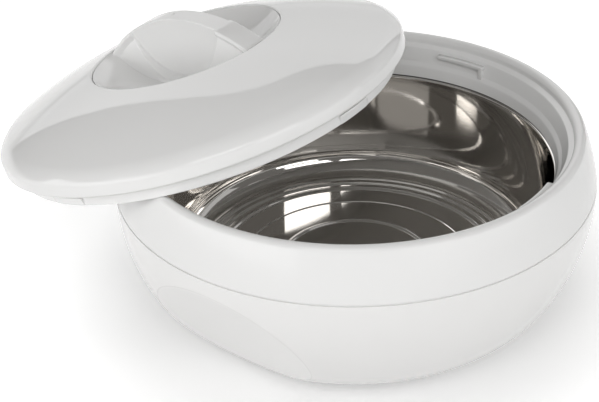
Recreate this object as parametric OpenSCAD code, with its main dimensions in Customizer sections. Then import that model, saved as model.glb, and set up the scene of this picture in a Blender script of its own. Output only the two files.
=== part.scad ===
// Insulated serving bowl with a mirror steel inner bowl and a domed lift-off lid.
// Millimetres, +Z up, base on Z = 0, bowl axis on the Z axis, lid leaning on the lip towards -X.

/* [Bowl] */
// largest outside radius of the bowl, at the joint line
bowl_r = 145; // [140:0.5:150]
// how far the bowl stands out at the joint line beyond the lid's seat
shoulder = 14.9; // [14:0.1:16]
// height of the joint line between shell and collar
joint_h = 86; // [84:0.5:88]
// height of the lip
rim_h = 117.3; // [116:0.1:119]
// radius of the shell's side curve, seen in section
side_r = 116; // [112:1:120]
// radius of the curve between side and base, seen in section
corner_r = 55; // [52:1:58]
// radius of the collar's outside curve, seen in section
collar_r = 150; // [120:1:180]
// rounding of the lip's outside
lip_round = 4; // [3.6:0.1:5]
// rounding of the lip's inside, down to the lid's seat
lip_in = 3.4; // [3:0.1:3.8]
// wall thickness of the moulded plastic pieces
wall = 2.4; // [2:0.1:2.6]
// height of the groove at the joint line
groove = 1; // [0.6:0.1:1.4]

/* [Finger facets] */
// direction of the first facet, the second lies opposite
facet_az = -125.5; // [-180:0.5:180]
// how far the facets face downwards
facet_down = 29.1; // [26:0.1:32]
// depth of the facets below the crest of the shell's side curve
facet_cut = 9.8; // [2:0.1:10.5]

/* [Collar] */
// depth of the lid's seat below the lip
seat_depth = 5.3; // [5:0.1:6]
// how far the ledge under the seat reaches inwards
ledge_in = 3.4; // [3:0.1:3.8]
// how far that ledge slopes down
ledge_drop = 1.6; // [1.2:0.1:2]
// how far the wall below the ledge leans inwards
wall_in = 3.1; // [2.8:0.1:3.4]
// height of that wall
wall_drop = 8.7; // [8:0.1:9.4]
// width of the shelf below that wall
shelf_w = 2.1; // [1.8:0.1:2.4]
// how far the shelf slopes down
shelf_drop = 2.7; // [2.4:0.1:3]
// how far the throat above the steel edge leans inwards
throat_in = 1.6; // [1.3:0.1:1.9]
// height of the throat
throat_drop = 6.8; // [6.4:0.1:7.2]
// depth of the tongue that fits inside the shell
tongue_h = 6; // [5:0.1:7]
// thickness of the tongue
tongue_t = 2; // [1.6:0.1:2.2]

/* [Lock] */
// number of lugs on the lid, and of ribs in the collar
lock_count = 4; // [3:1:6]
// direction where the first rib starts
rib_az = 47.5; // [0:0.5:90]
// length of a rib as an angle
rib_span = 15.9; // [12:0.1:20]
// how far down the ribs start below the lip
rib_drop = 8.8; // [8.4:0.1:9.2]
// height of a rib
rib_h = 2.2; // [1.8:0.1:2.6]
// width of a lug as an angle
lug_span = 12; // [8:0.5:14]
// how far a lug stands out from the skirt
lug_out = 1.7; // [1.5:0.1:2]

/* [Steel bowl] */
// sheet thickness
steel_t = 0.8; // [0.6:0.1:1]
// how far the collar's foot stands back from the steel wall
steel_lap = 0.7; // [0.5:0.1:0.9]
// how far the rolled edge reaches outwards
flange_out = 5.3; // [5:0.1:5.6]
// how much the wall narrows down to the corner
steel_taper = 3.2; // [3:0.1:4]
// depth of the outermost floor ring below the joint line
floor_below = 63.5; // [62:0.1:63.6]
// fillet between wall and floor
steel_fillet = 13.8; // [13.6:0.1:15]
// depth of each pressed step of the floor
floor_step = 0.6; // [0.4:0.1:0.8]
// height of the small ring pressed up in the floor
ring_up = 1; // [0.6:0.1:1.2]

/* [Lid] */
// gap between the dome's rim and its seat when closed
lid_play = 0.4; // [0.3:0.1:0.6]
// height of the rim's upright face
rim_up = 8.08; // [7:0.1:9]
// radius of the dome's curve
dome_r = 290; // [280:1:300]
// rounding between dome and rim
rim_round = 4.5; // [3.5:0.1:5.5]
// how far the rim stands out beyond the skirt
rim_over = 8.3; // [8:0.1:8.6]
// depth of the skirt below the dome's edge
skirt_h = 9.8; // [9.4:0.1:10]
// gap between the edge of the liner's plate and the dome
liner_play = 1.3; // [1.1:0.1:1.5]
// thickness of the liner
liner_t = 1.4; // [1.2:0.1:1.5]

/* [Grip] */
// radius of the dish
dish_rim_r = 60.5; // [58:0.5:62]
// thickness of the dish
dish_t = 2.2; // [1.8:0.1:2.4]
// gap between the dish's underside and the liner's plate
dish_play = 0.4; // [0.3:0.1:1]
// height of the bar's crest above the dome's crown
bar_up = 13.7; // [12:0.1:15]
// radius of the bar's arch
bar_arch = 94; // [92:1:98]
// half width of the bar's crest
bar_half = 8.2; // [7.8:0.1:8.8]
// how much wider each side of the bar is at its foot
bar_draft = 4; // [3:0.1:5]
// radius of the round scoops in the bar's sides
scoop_r = 38; // [36:0.5:39]
// how much the crest narrows above a scoop
crest_in = 1.4; // [1:0.1:1.8]
// half thickness of the web between the scoops
web_half = 4.6; // [4.2:0.1:5]

/* [Leaning lid] */
// direction the lid leans towards
lean_az = 157.6; // [0:0.1:360]
// how far the lid's middle lies from the bowl's axis
lean_out = 100.84; // [99:0.1:102]
// angle of lean
lean = 16.9; // [16:0.1:17.2]
// direction of the grip bar measured from the lean
grip_turn = -194.7; // [-360:0.1:360]

/* [Hidden] */
$fn = 96;
gap = 0.3;
big = 400;

// shell curves: centre of the side curve and of the base corner
side_c = [bowl_r - side_r, joint_h];
corner_c = [side_c[0] + sqrt(pow(side_r - corner_r, 2) - pow(joint_h - corner_r, 2)), corner_r];
corner_turn = atan2(corner_c[1] - side_c[1], corner_c[0] - side_c[0]);
shell_top = joint_h - groove / 2;
// distance of the facets from the middle of the base
facet_off = side_c[0] * cos(facet_down) - side_c[1] * sin(facet_down) + side_r - facet_cut;

// radii that fit one another: seat in the collar, dome and skirt of the lid
seat_r = bowl_r - shoulder;
lid_r = seat_r - lid_play;
skirt_r = lid_r - rim_over;

// collar: seat for the lid, ledge, wall, shelf and throat seen in section
seat_z = rim_h - seat_depth;
lip_c = [seat_r + lip_in, rim_h - lip_round];
ledge = [seat_r - ledge_in, seat_z - ledge_drop];
shelf_out = ledge - [wall_in, wall_drop];
shelf_in = shelf_out - [shelf_w, shelf_drop];
collar_foot = shelf_in - [throat_in, throat_drop];
foot_z = joint_h + groove / 2;
tongue_r = bowl_r - wall - gap;
tongue_z = joint_h - tongue_h;
tongue_draft = 0.2;

// bayonet ribs: play to the skirt, depth of their roots, and the stop at their closed end
rib_play = 0.9;
rib_z = rim_h - rib_drop - rib_h;
stop_span = 1.5;
stop_inset = 1;
stop_up = 0.5;

// centre that lies at distance a from p and b from q, on the side of the axis
function meet(p, a, q, b) =
    let (d = norm(q - p), x = (d * d + a * a - b * b) / (2 * d), u = (q - p) / d)
    p + x * u + sqrt(a * a - x * x) * [-u[1], u[0]];
collar_c = meet([bowl_r, joint_h], collar_r, lip_c, collar_r - lip_round);
lip_turn = atan2(lip_c[1] - collar_c[1], lip_c[0] - collar_c[0]);

// steel bowl and the ring that seals its edge
seal_t = 0.8;
seal_inset = 0.6;
steel_r = collar_foot[0] - steel_lap;
flange_top = collar_foot[1] - seal_t;
flange_r = steel_r + flange_out;
bend_r = 1.6;
steel_floor = joint_h - floor_below;
fillet_c = [steel_r - steel_taper - steel_fillet, steel_floor + steel_fillet];
// distances from the fillet inwards between the floor's three steps, its fine circle and its small ring
floor_gaps = [1.5, 5.4, 7.6, 16.1, 24.5];
function floor_r(i) = (i == 0 ? fillet_c[0] : floor_r(i - 1)) - floor_gaps[i];
step_w = 1.8;
fine_step = 0.3;
fine_w = 0.6;
ring_w = 3.2;
ring_flat = 1.2;

// plug of the filling hole in the base
plug_r = 12;
plug_y = 50;
plug_z = 0.3;
plug_play = 0.2;

// dome: centre of its curve, and of the rounding at the rim
rim_c = [lid_r - rim_round, rim_up];
dome_c = [0, rim_up - sqrt(pow(dome_r - rim_round, 2) - pow(rim_c[0], 2))];
rim_turn = atan2(rim_c[1] - dome_c[1], rim_c[0] - dome_c[0]);

// liner, skirt and sealing ring
skirt_t = 2;
liner_top = dome_c[1] + sqrt(pow(dome_r - wall, 2) - skirt_r * skirt_r) - liner_play;
liner_z = liner_top - liner_t;
flange_play = 0.4;
liner_flange = [lid_r - wall - flange_play, flange_play];
flange_t = 2;
lug_up = 0.2;
lug_h = 5.2;
lug_turn = -0.6;
lid_seal_t = 1.7;

// dish: sphere through the bottom and the rim
dish_r_out = dish_rim_r - gap;
dish_sink = 1;
dish_z = liner_top + dish_play + dish_t;
dish_rim_z = dome_c[1] + sqrt(dome_r * dome_r - dish_rim_r * dish_rim_r) - dish_sink;
dish_rise = dish_rim_z - dish_z;
dish_r = (dish_r_out * dish_r_out + dish_rise * dish_rise) / (2 * dish_rise);
dish_c = [0, dish_z + dish_r];
dish_flange_w = 4;
dish_flange_r = dish_rim_r + dish_flange_w;
seat_play = 0.1;
dish_flange_z = dome_c[1] + sqrt(pow(dome_r - wall - seat_play, 2) - pow(dish_flange_r, 2));
dish_under_z = dish_flange_z - flange_t;

// grip bar: half sections of the bar, of the web between its scoops, and of the hollow below,
// each point as distance from the arch's axis and across the bar
bar_top = dome_c[1] + dome_r + bar_up;
bar_c = bar_top - bar_arch;
bar_edge = 0.7;
bar_cap = 2;
cap_step = [3, 1.8];
bar_dip = 0.1;
bar_foot = dish_z - bar_dip - bar_c;
bar_wall = 2.2;
bar_end = 8;
crest_half = bar_half - crest_in;
scoop_fall = 16;
bar_side = [
    [bar_foot, -bar_half - bar_draft],
    [bar_arch - bar_cap - cap_step[0], -bar_half + cap_step[1]],
    [bar_arch - bar_cap, -bar_half],
    [bar_arch - bar_edge, -bar_half],
    [bar_arch, -bar_half + bar_edge]];
web_side = [
    [bar_foot, -web_half],
    [bar_arch - scoop_fall, -web_half],
    [bar_arch - scoop_fall / 2, -web_half - (crest_half - web_half) / 4],
    [bar_arch - bar_edge, -crest_half],
    [bar_arch, -crest_half + bar_edge]];
hollow_side = [
    [bar_foot, -web_half + bar_wall],
    [bar_arch - wall, -web_half + bar_wall]];
scoop_drop = 1;
gate_r = 1.4;
gate_deep = 0.5;

// resting height of the leaning lid: clear of the lip along the skirt's edge and under the liner
edge_r = skirt_t / 2;
function edge_need(r) =
    r >= lip_c[0] + lip_round + edge_r + gap ? 0
    : r >= lip_c[0] ? lip_c[1] + sqrt(pow(lip_round + edge_r + gap, 2) - pow(r - lip_c[0], 2))
    : r >= seat_r ? rim_h + edge_r + gap
    : seat_r - r < edge_r + gap ? rim_h + sqrt(pow(edge_r + gap, 2) - pow(seat_r - r, 2))
    : 0;
function edge_point(a) =
    let (r = skirt_r - edge_r, z = edge_r - skirt_h)
    [lean_out + r * cos(a) * cos(lean) + z * sin(lean), r * sin(a), z * cos(lean) - r * cos(a) * sin(lean)];
edge_rest = max([for (a = [0 : 0.5 : 180]) let (p = edge_point(a)) edge_need(norm([p[0], p[1]])) - p[2]]);
plate_rest = lip_c[1] - (liner_z - gap - lip_round - (lip_c[0] - lean_out) * sin(lean)) / cos(lean);
lid_z = max(edge_rest, plate_rest);

// points along an arc about c, from angle a0 to a1
arc_n = 24;
function arc(c, r, a0, a1) = [
    for (i = [0 : arc_n])
        let (t = a0 + (a1 - a0) * i / arc_n)
        c + r * [cos(t), sin(t)]];

// region inside the shell's outer face, drawn d inside it, up to the height top
module shell_2d(d, top) {
    polygon(concat(
        [[0, d]],
        arc(corner_c, corner_r - d, -90, corner_turn),
        arc(side_c, side_r - d, corner_turn + 1, asin((top - side_c[1]) / (side_r - d))),
        [[0, top]]));
}

// half spaces cut away by the two finger facets, drawn d inside them
module facets(d) {
    for (turn = [0, 180])
        rotate([0, 0, facet_az + turn]) rotate([0, facet_down, 0])
            translate([facet_off - d, -big / 2, -big / 2]) cube([big, big, big]);
}

module plug_hole(r) {
    translate([0, plug_y, -1]) cylinder(r = r, h = wall + 2);
}

module outer_shell() {
    color([0.93, 0.93, 0.92])
    difference() {
        rotate_extrude() shell_2d(0, shell_top);
        facets(0);
        difference() {
            rotate_extrude() shell_2d(wall, joint_h + 5);
            facets(wall);
        }
        plug_hole(plug_r + plug_play);
    }
}

// collar seen in section: outside curve, lip, inside face down to the foot, and the hollow in it
module collar_2d() {
    hollow_r = lip_round - wall;
    hollow_out = collar_r - wall;
    hollow_turn = acos((seat_r + wall - lip_c[0]) / hollow_r);
    polygon(concat(
        arc(collar_c, collar_r, asin((foot_z - collar_c[1]) / collar_r), lip_turn),
        arc(lip_c, lip_round, lip_turn + 4, 90),
        arc([lip_c[0], rim_h - lip_in], lip_in, 94, 180),
        [[seat_r, seat_z],
        ledge,
        shelf_out,
        shelf_in,
        collar_foot,
        [collar_foot[0] + wall, collar_foot[1]],
        [shelf_in[0] + wall, shelf_in[1] - 0.2 * wall],
        [shelf_out[0] + wall, shelf_out[1] - 0.2 * wall],
        [ledge[0] + 0.8 * wall, ledge[1] - 0.73 * wall],
        [seat_r + wall, seat_z - 0.63 * wall]],
        arc(lip_c, hollow_r, hollow_turn, lip_turn + 4),
        arc(collar_c, hollow_out, lip_turn, asin((foot_z + tongue_t - collar_c[1]) / hollow_out)),
        [[tongue_r - tongue_t, foot_z + tongue_t],
        [tongue_r - tongue_t - tongue_draft, tongue_z],
        [tongue_r - tongue_draft, tongue_z],
        [tongue_r, foot_z]]));
}

// radius inside the collar's wall, halfway through it, at the height z above the shelf
function root_r(z) = shelf_out[0] + (z - shelf_out[1]) * wall_in / wall_drop + wall / 2;

// bayonet rib with the stop at its closed end
module rib() {
    tip = skirt_r + rib_play;
    rib_top = rib_z + rib_h;
    stop_top = rib_top - stop_inset;
    stop_z = shelf_in[1] + stop_up;
    rotate([0, 0, rib_az]) {
        rotate_extrude(angle = rib_span)
            polygon([[tip, rib_z], [root_r(rib_z), rib_z], [root_r(rib_top), rib_top], [tip, rib_top]]);
        rotate_extrude(angle = stop_span)
            polygon([
                [tip, stop_z],
                [shelf_in[0] + wall / 2, stop_z],
                [root_r(shelf_out[1]), shelf_out[1]],
                [root_r(stop_top), stop_top],
                [tip, stop_top]]);
    }
}

module collar() {
    color([0.95, 0.95, 0.94])
    union() {
        rotate_extrude() collar_2d();
        for (k = [0 : lock_count - 1]) rotate([0, 0, k * 360 / lock_count]) rib();
    }
}

// region inside the steel bowl's inner face, widened by d
module steel_2d(d) {
    z0 = steel_floor - d;
    z1 = z0 - floor_step;
    z2 = z1 - floor_step;
    z3 = z2 - floor_step;
    z4 = z3 - fine_step;
    w = step_w / 2;
    polygon([
        [0, z4],
        [floor_r(4) - ring_w / 2, z4],
        [floor_r(4) - ring_flat / 2, z4 + ring_up],
        [floor_r(4) + ring_flat / 2, z4 + ring_up],
        [floor_r(4) + ring_w / 2, z4],
        [floor_r(3) - fine_w / 2, z4],
        [floor_r(3) + fine_w / 2, z3],
        [floor_r(2) - w, z3],
        [floor_r(2) + w, z2],
        [floor_r(1) - w, z2],
        [floor_r(1) + w, z1],
        [floor_r(0) - w, z1],
        [floor_r(0) + w, z0],
        [fillet_c[0], z0],
        [fillet_c[0], fillet_c[1]],
        [steel_r - steel_taper + d, fillet_c[1]],
        [steel_r + d, flange_top - bend_r],
        [steel_r + d, flange_top + 1],
        [0, flange_top + 1]]);
    intersection() {
        translate(fillet_c) circle(steel_fillet + d);
        translate([fillet_c[0], z0]) square([big, fillet_c[1] - z0]);
    }
}

module inner_bowl() {
    bend_c = [steel_r + bend_r, flange_top - bend_r];
    color([0.62, 0.6, 0.57])
    rotate_extrude() {
        difference() {
            intersection() {
                steel_2d(steel_t);
                square([big, bend_c[1]]);
            }
            steel_2d(0);
        }
        intersection() {
            difference() {
                translate(bend_c) circle(bend_r);
                translate(bend_c) circle(bend_r - steel_t);
            }
            translate([bend_c[0] - bend_r, bend_c[1]]) square([bend_r, bend_r]);
        }
        translate([bend_c[0], flange_top - steel_t]) square([flange_r - bend_c[0], steel_t]);
    }
}

module bowl_foam() {
    foam_top = flange_top - steel_t - gap;
    color([0.9, 0.84, 0.62])
    difference() {
        intersection() {
            rotate_extrude() shell_2d(wall + gap, foam_top);
            union() {
                cylinder(r = bowl_r, h = tongue_z - gap);
                cylinder(r = tongue_r - tongue_t - tongue_draft - 2 * gap, h = foam_top);
            }
        }
        facets(wall + gap);
        rotate_extrude() steel_2d(steel_t + gap);
    }
}

module bowl_seal() {
    color([0.3, 0.3, 0.3])
    translate([0, 0, flange_top])
    difference() {
        cylinder(r = flange_r - seal_inset, h = seal_t);
        translate([0, 0, -1]) cylinder(r = collar_foot[0] + seal_inset, h = seal_t + 2);
    }
}

module fill_plug() {
    color([0.88, 0.88, 0.87])
    translate([0, plug_y, plug_z]) cylinder(r = plug_r, h = wall + gap - plug_z);
}

// puts the lid's own frame, dome edge on Z = 0 and bar along X, on the bowl's lip
module leaning() {
    rotate([0, 0, lean_az]) translate([lean_out, 0, lid_z]) rotate([0, lean, 0])
        rotate([0, 0, grip_turn]) children();
}

// region inside the dome's outer face, drawn d inside it
module dome_2d(d) {
    polygon(concat(
        [[0, 0], [lid_r - d, 0]],
        arc(rim_c, rim_round - d, 0, rim_turn),
        arc(dome_c, dome_r - d, rim_turn + 0.5, 90)));
}

module lid_dome() {
    hole_x = dish_rim_r + wall / 2;
    hole_c = [hole_x, dome_c[1] + sqrt(pow(dome_r - wall / 2, 2) - hole_x * hole_x)];
    hole_turn = atan2(hole_c[1] - dome_c[1], hole_c[0]);
    color([0.95, 0.95, 0.94])
    leaning() rotate_extrude() polygon(concat(
        [[lid_r - wall, 0], [lid_r, 0]],
        arc(rim_c, rim_round, 0, rim_turn),
        arc(dome_c, dome_r, rim_turn + 0.5, hole_turn),
        arc(hole_c, wall / 2, hole_turn + 15, hole_turn + 165),
        arc(dome_c, dome_r - wall, hole_turn, rim_turn + 0.5),
        arc(rim_c, rim_round - wall, rim_turn, 0)));
}

// half section and its mirror half as one outline
function both(side) = concat(side, [for (i = [len(side) - 1 : -1 : 0]) [side[i][0], -side[i][1]]]);

// outline turned about the arch's axis
module arched(side) {
    translate([0, 0, bar_c]) rotate([90, 0, 0]) rotate_extrude() polygon(both(side));
}

module scoop() {
    translate([0, 0, bar_top - scoop_drop]) rotate([90, 0, 0])
        cylinder(r = scoop_r, h = big, center = true);
}

// body of revolution inside which the bar ends: above the dish and within its rim
module dish_space(under) {
    rotate_extrude() intersection() {
        translate(dish_c) circle(dish_r + under);
        translate([0, dish_z - under]) square([dish_r_out - under / 2, big]);
    }
}

// dish seen in section, with the flange that holds it under the dome
module dish_2d() {
    polygon(concat(
        arc(dish_c, dish_r, -90, atan2(dish_rim_z - dish_c[1], dish_r_out)),
        [[dish_r_out, dish_flange_z],
        [dish_flange_r, dish_flange_z],
        [dish_flange_r, dish_under_z]],
        arc(dish_c, dish_r + dish_t, asin((dish_under_z - dish_c[1]) / (dish_r + dish_t)), -90)));
}

module lid_grip() {
    color([0.94, 0.94, 0.93])
    leaning() difference() {
        union() {
            rotate_extrude() dish_2d();
            intersection() {
                union() {
                    arched(web_side);
                    difference() {
                        arched(bar_side);
                        scoop();
                    }
                }
                dish_space(dish_t / 2);
            }
        }
        // hollow of the bar, open below
        intersection() {
            arched(hollow_side);
            translate([0, 0, liner_z]) cylinder(r = dish_r_out - bar_end, h = bar_top);
        }
        translate([0, 0, bar_top + gate_r - gate_deep]) sphere(r = gate_r);
    }
}

// liner seen in section: plate, skirt with its round lower edge, and flange
module liner_2d() {
    polygon(concat(
        [[0, liner_z],
        [skirt_r - skirt_t, liner_z]],
        arc([skirt_r - edge_r, edge_r - skirt_h], edge_r, 180, 360),
        [[skirt_r, liner_flange[1]],
        liner_flange,
        liner_flange + [0, flange_t],
        [skirt_r, liner_flange[1] + flange_t],
        [skirt_r, liner_top],
        [0, liner_top]]));
}

module lid_liner() {
    color([0.93, 0.93, 0.92])
    leaning() {
        rotate_extrude() liner_2d();
        for (k = [0 : lock_count - 1])
            rotate([0, 0, lug_turn - lug_span / 2 + k * 360 / lock_count]) rotate_extrude(angle = lug_span)
                translate([skirt_r - skirt_t / 2, lug_up - skirt_h]) square([lug_out + skirt_t / 2, lug_h]);
    }
}

module lid_foam() {
    color([0.9, 0.84, 0.62])
    leaning() rotate_extrude() difference() {
        dome_2d(wall + gap);
        square([skirt_r + gap, liner_top + gap]);
        square([big, liner_flange[1] + flange_t + gap]);
        translate(dish_c) circle(dish_r + dish_t + gap);
        translate([0, dish_under_z - 2 * gap]) square([dish_flange_r + gap, big]);
    }
}

module lid_seal() {
    color([0.86, 0.86, 0.84])
    leaning() translate([0, 0, liner_flange[1] - gap - lid_seal_t])
    difference() {
        cylinder(r = liner_flange[0], h = lid_seal_t);
        translate([0, 0, -1]) cylinder(r = skirt_r + gap, h = lid_seal_t + 2);
    }
}

outer_shell();
collar();
inner_bowl();
bowl_foam();
bowl_seal();
fill_plug();
lid_dome();
lid_grip();
lid_liner();
lid_foam();
lid_seal();
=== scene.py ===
import math

import bmesh
import bpy
import numpy as np
from mathutils import Matrix, Vector


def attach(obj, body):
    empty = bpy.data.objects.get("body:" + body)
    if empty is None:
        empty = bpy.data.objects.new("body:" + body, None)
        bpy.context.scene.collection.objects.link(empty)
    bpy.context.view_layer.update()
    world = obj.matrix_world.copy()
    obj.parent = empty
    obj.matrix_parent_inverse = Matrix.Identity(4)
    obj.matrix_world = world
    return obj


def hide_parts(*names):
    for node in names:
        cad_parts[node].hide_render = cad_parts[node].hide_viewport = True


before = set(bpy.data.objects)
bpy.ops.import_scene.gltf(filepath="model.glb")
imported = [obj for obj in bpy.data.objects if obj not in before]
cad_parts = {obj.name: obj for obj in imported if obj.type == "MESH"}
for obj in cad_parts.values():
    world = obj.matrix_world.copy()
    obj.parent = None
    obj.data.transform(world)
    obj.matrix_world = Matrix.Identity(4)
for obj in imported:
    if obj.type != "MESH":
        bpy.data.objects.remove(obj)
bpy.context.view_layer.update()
MM = 0.001

# Bowl, in millimetres: outside curves, joint line, lip, wall and the groove under the collar
BOWL_R = 144.98
JOINT_H = 86.0
RIM_H = 117.3
WALL = 2.4
SIDE_R = 116.0
CORNER_R = 55.0
COLLAR_R = 150.0
LIP_ROUND = 4.0
LIP_IN = 3.4
GROOVE = 1.0
SEAT_R = 130.1
SEAT_Z = RIM_H - 5.3
# Shell's top edge: drawn in a little, eased more outside than inside
EDGE_IN = 0.02
EDGE_EASE = 0.7
EDGE_EASE_IN = 0.3
# Finger facets: azimuth and downward tilt of their planes, the planes' distance from the origin,
# softness of their edges, and the half angle that has close columns of points
FACET_AZ = -125.5
FACET_DOWN = 29.1
FACET_OFF = 89.71
FACET_EASE = 0.25
FACET_HALF = 48
# Hole for the plug in the base: radius, and how far from the axis along y
HOLE_R = 12.2
HOLE_Y = 50.0
# Collar inside, from the seat down: ledge, wall, shelf and throat as (radius, height) corners
LEDGE = (SEAT_R - 3.4, SEAT_Z - 1.6)
SHELF_OUT = (SEAT_R - 6.5, SEAT_Z - 10.3)
SHELF_IN = (SEAT_R - 8.6, SEAT_Z - 13.0)
THROAT = (SEAT_R - 10.2, SEAT_Z - 19.8)
# Back of that wall: how far under the shelf and the seat it runs, and its corner behind the ledge
BACK_DOWN = 0.5
SEAT_T = 1.5
LEDGE_BACK = (LEDGE[0] + 1.9, LEDGE[1] - 1.75)
# Collar's foot: easing, shoulder, depth of the groove, and the tongue that stands inside the shell
FOOT_EASE = 0.6
SHOULDER_H = 2.0
GROOVE_IN = 0.9
GROOVE_LIFT = 0.06
TONGUE_GAP = 0.3
TONGUE_T = 2.0
TONGUE_H = 6.0
TONGUE_DRAFT = 0.2
# Bayonet ribs: count, first azimuth, span and heights of a rib, play round the skirt; span of a
# rib's stop, its start above the shelf and its end below the rib's top
RIBS = 4
RIB_AZ = 47.5
RIB_SPAN = 15.9
RIB_Z = 106.3
RIB_TOP = 108.5
RIB_GAP = 0.9
STOP_SPAN = 1.5
STOP_UP = 0.5
STOP_DOWN = 1.0
# Steel bowl: edge radius, taper of the wall, fillet, sheet, floor height, rolled edge and flange
STEEL_R = 119.2
STEEL_TAPER = 3.2
STEEL_FILLET = 13.8
STEEL_T = 0.8
STEEL_FLOOR = 22.5
STEEL_EDGE_Z = THROAT[1] - 0.8
ROLL_R = 1.6
ROLL_END = 1.9
FLANGE_R = SEAT_R - 5.6
FLANGE_EASE = 0.3
# Pressed rings of its floor: height, width and radii of the steps and of the round beads beside
# them, a fine step, the rise of the middle, and the middle's own small ring
STEP = 0.6
STEP_W = 3.0
STEP_RADII = (87.7, 95.3, 100.7)
BEAD = 0.8
BEAD_W = 5.2
BEAD_RADII = (88.5, 94.6, 99.5)
FINE_STEP = 0.3
FINE_W = 1.2
FINE_R = 71.6
FLOOR_UP = 0.8
RING_UP = 1.0
RING_R = 47.1
RING_HALF = 1.9
# Lid, in its own frame: dome edge on z = 0, grip bar along x; the roll of the edge has two arcs
LID_R = 129.68
DOME_TOP = 41.49
DOME_R = 290.0
RIM_ROUND = 5.0
RIM_SOFT = 20.0
RIM_MEET = math.radians(38.0)
# Liner: plate, skirt, flange under the dome's edge, and lugs
SKIRT_R = 121.4
SKIRT_H = 9.8
SKIRT_T = 2.0
SKIRT_EASE = 2.5
LINER_Z = 9.518
LINER_T = 1.4
LINER_GAP = 0.4
LINER_FLANGE = (0.4, 2.4)
PLATE_R = SKIRT_R - 6
LUGS = 4
LUG_R = SKIRT_R + 1.2
LUG_Z = (-9.6, -4.4)
LUG_FOOT = 0.1
LUG_FACE = 1.0
LUG_SPAN = (-6.6, 5.4)
# Grip: dish, its rim a little below the dome and its flange just clear of the dome's inside, and
# arched bar with a cap, drawn-in sides, a fillet on the dish and a round scoop on each side
DISH_RIM_R = 60.5
DISH_GAP = 0.3
DISH_DOWN = 1.0
DISH_CLEAR = 0.1
DISH_Z = 13.518
DISH_T = 2.2
DISH_FLANGE = 4.0
DISH_FLANGE_T = 2.0
BAR_TOP = 55.15
BAR_ARCH = 94.0
BAR_HALF = 8.2
BAR_CAP = 2.0
CAP_FALL = 3.0
CAP_IN = 1.8
BAR_DRAFT = 4.0
BAR_FOOT = 41.78
BAR_FOOT_HALF = 11.5
BAR_SINK = 1.0
BAR_SHORT = 0.9
BAR_LEAST = 0.6
BAR_ROUND = 0.7
BAR_CROWN = 0.04
FILLET = 1.6
FILLET_FALL = 1.1
SCOOP_R = 38.0
SCOOP_DOWN = 1.0
SCOOP_EASE = 1.0
CREST_HALF = 6.8
WEB_HALF = 4.6
SCOOP_FALL = 16.0
# Dimple in the crest: place along and across the bar, radius, depth
DIMPLE = (-2.5, 1.5)
DIMPLE_R = 1.5
DIMPLE_DEEP = 0.7
# Where the lid leans: azimuth and distance of its middle, lean, turn of the grip, height
LEAN_AZ = 157.6
LEAN_OUT = 100.84
LEAN = 16.9
GRIP_TURN = -194.7
LID_Z = 117.787

SIDE_C = np.array([BOWL_R - SIDE_R, JOINT_H])
CORNER_X = SIDE_C[0] + math.sqrt((SIDE_R - CORNER_R) ** 2 - (JOINT_H - CORNER_R) ** 2)
CORNER_C = np.array([CORNER_X, CORNER_R])
CORNER_TURN = math.atan2(CORNER_C[1] - SIDE_C[1], CORNER_C[0] - SIDE_C[0])
QUARTER = math.pi / 2
# Columns of points round the bowl, the lid and its dish
BOWL_COLUMNS = 360
LID_COLUMNS = 400
DISH_COLUMNS = 300
# Eased corners: points on each, and how far one may reach towards its neighbours
EASE_POINTS = 6
EASE_LIMIT = 0.48
# Ends of swept blocks: steps over which they draw in, and size of the end face
END_STEPS = 2.0
END_SIZE = 0.8


def turn_z(a):
    """Rotation matrix about z by a degrees."""
    a = math.radians(a)
    return np.array([[math.cos(a), -math.sin(a), 0], [math.sin(a), math.cos(a), 0], [0, 0, 1]])


def turn_y(a):
    """Rotation matrix about y by a degrees."""
    a = math.radians(a)
    return np.array([[math.cos(a), 0, math.sin(a)], [0, 1, 0], [-math.sin(a), 0, math.cos(a)]])


def facet_normal(side):
    """Outward normal of a facet's plane; side 0 or 180 degrees."""
    return turn_z(FACET_AZ + side) @ turn_y(FACET_DOWN) @ np.array([1.0, 0, 0])


LID_TURN = turn_z(LEAN_AZ) @ turn_y(LEAN) @ turn_z(GRIP_TURN)
LID_C = turn_z(LEAN_AZ) @ np.array([LEAN_OUT, 0, LID_Z])


def on_lid(points):
    """Lid points, from the lid's own frame to where it leans on the lip."""
    return points @ LID_TURN.T + LID_C


def arc(centre, r, a0, a1, n):
    """Points of an arc: centre plus r times (cos, sin) of n angles from a0 to a1 radians."""
    t = np.linspace(a0, a1, n)
    return np.stack([centre[0] + r * np.cos(t), centre[1] + r * np.sin(t)], 1)


def line(p, q, n):
    """n points on the straight line from p to q."""
    t = np.linspace(0, 1, n)[:, None]
    return np.array(p) * (1 - t) + np.array(q) * t


def eased(corners):
    """Outline with rounded corners: each (r, z, ease) corner becomes a parabola arc that starts and
    ends ease before and after it, or nearly half the way to its neighbours if that is less; ease 0
    keeps the point."""
    c = np.array(corners, float)
    p = c[:, :2]
    prev = np.roll(p, 1, 0) - p
    nxt = np.roll(p, -1, 0) - p
    prev_len = np.linalg.norm(prev, axis=1)
    nxt_len = np.linalg.norm(nxt, axis=1)
    cut = np.minimum(c[:, 2], EASE_LIMIT * np.minimum(prev_len, nxt_len))
    a = p + prev / prev_len[:, None] * cut[:, None]
    b = p + nxt / nxt_len[:, None] * cut[:, None]
    t = np.linspace(0, 1, EASE_POINTS)[None, :, None]
    curve = (1 - t) ** 2 * a[:, None] + 2 * t * (1 - t) * p[:, None] + t ** 2 * b[:, None]
    keep = [curve[i] if cut[i] > 0 else p[i:i + 1] for i in range(len(p))]
    return np.concatenate(keep)


def all_round(n):
    """n even angles round the axis, in radians."""
    return np.linspace(0, 2 * math.pi, n, endpoint=False)


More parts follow.
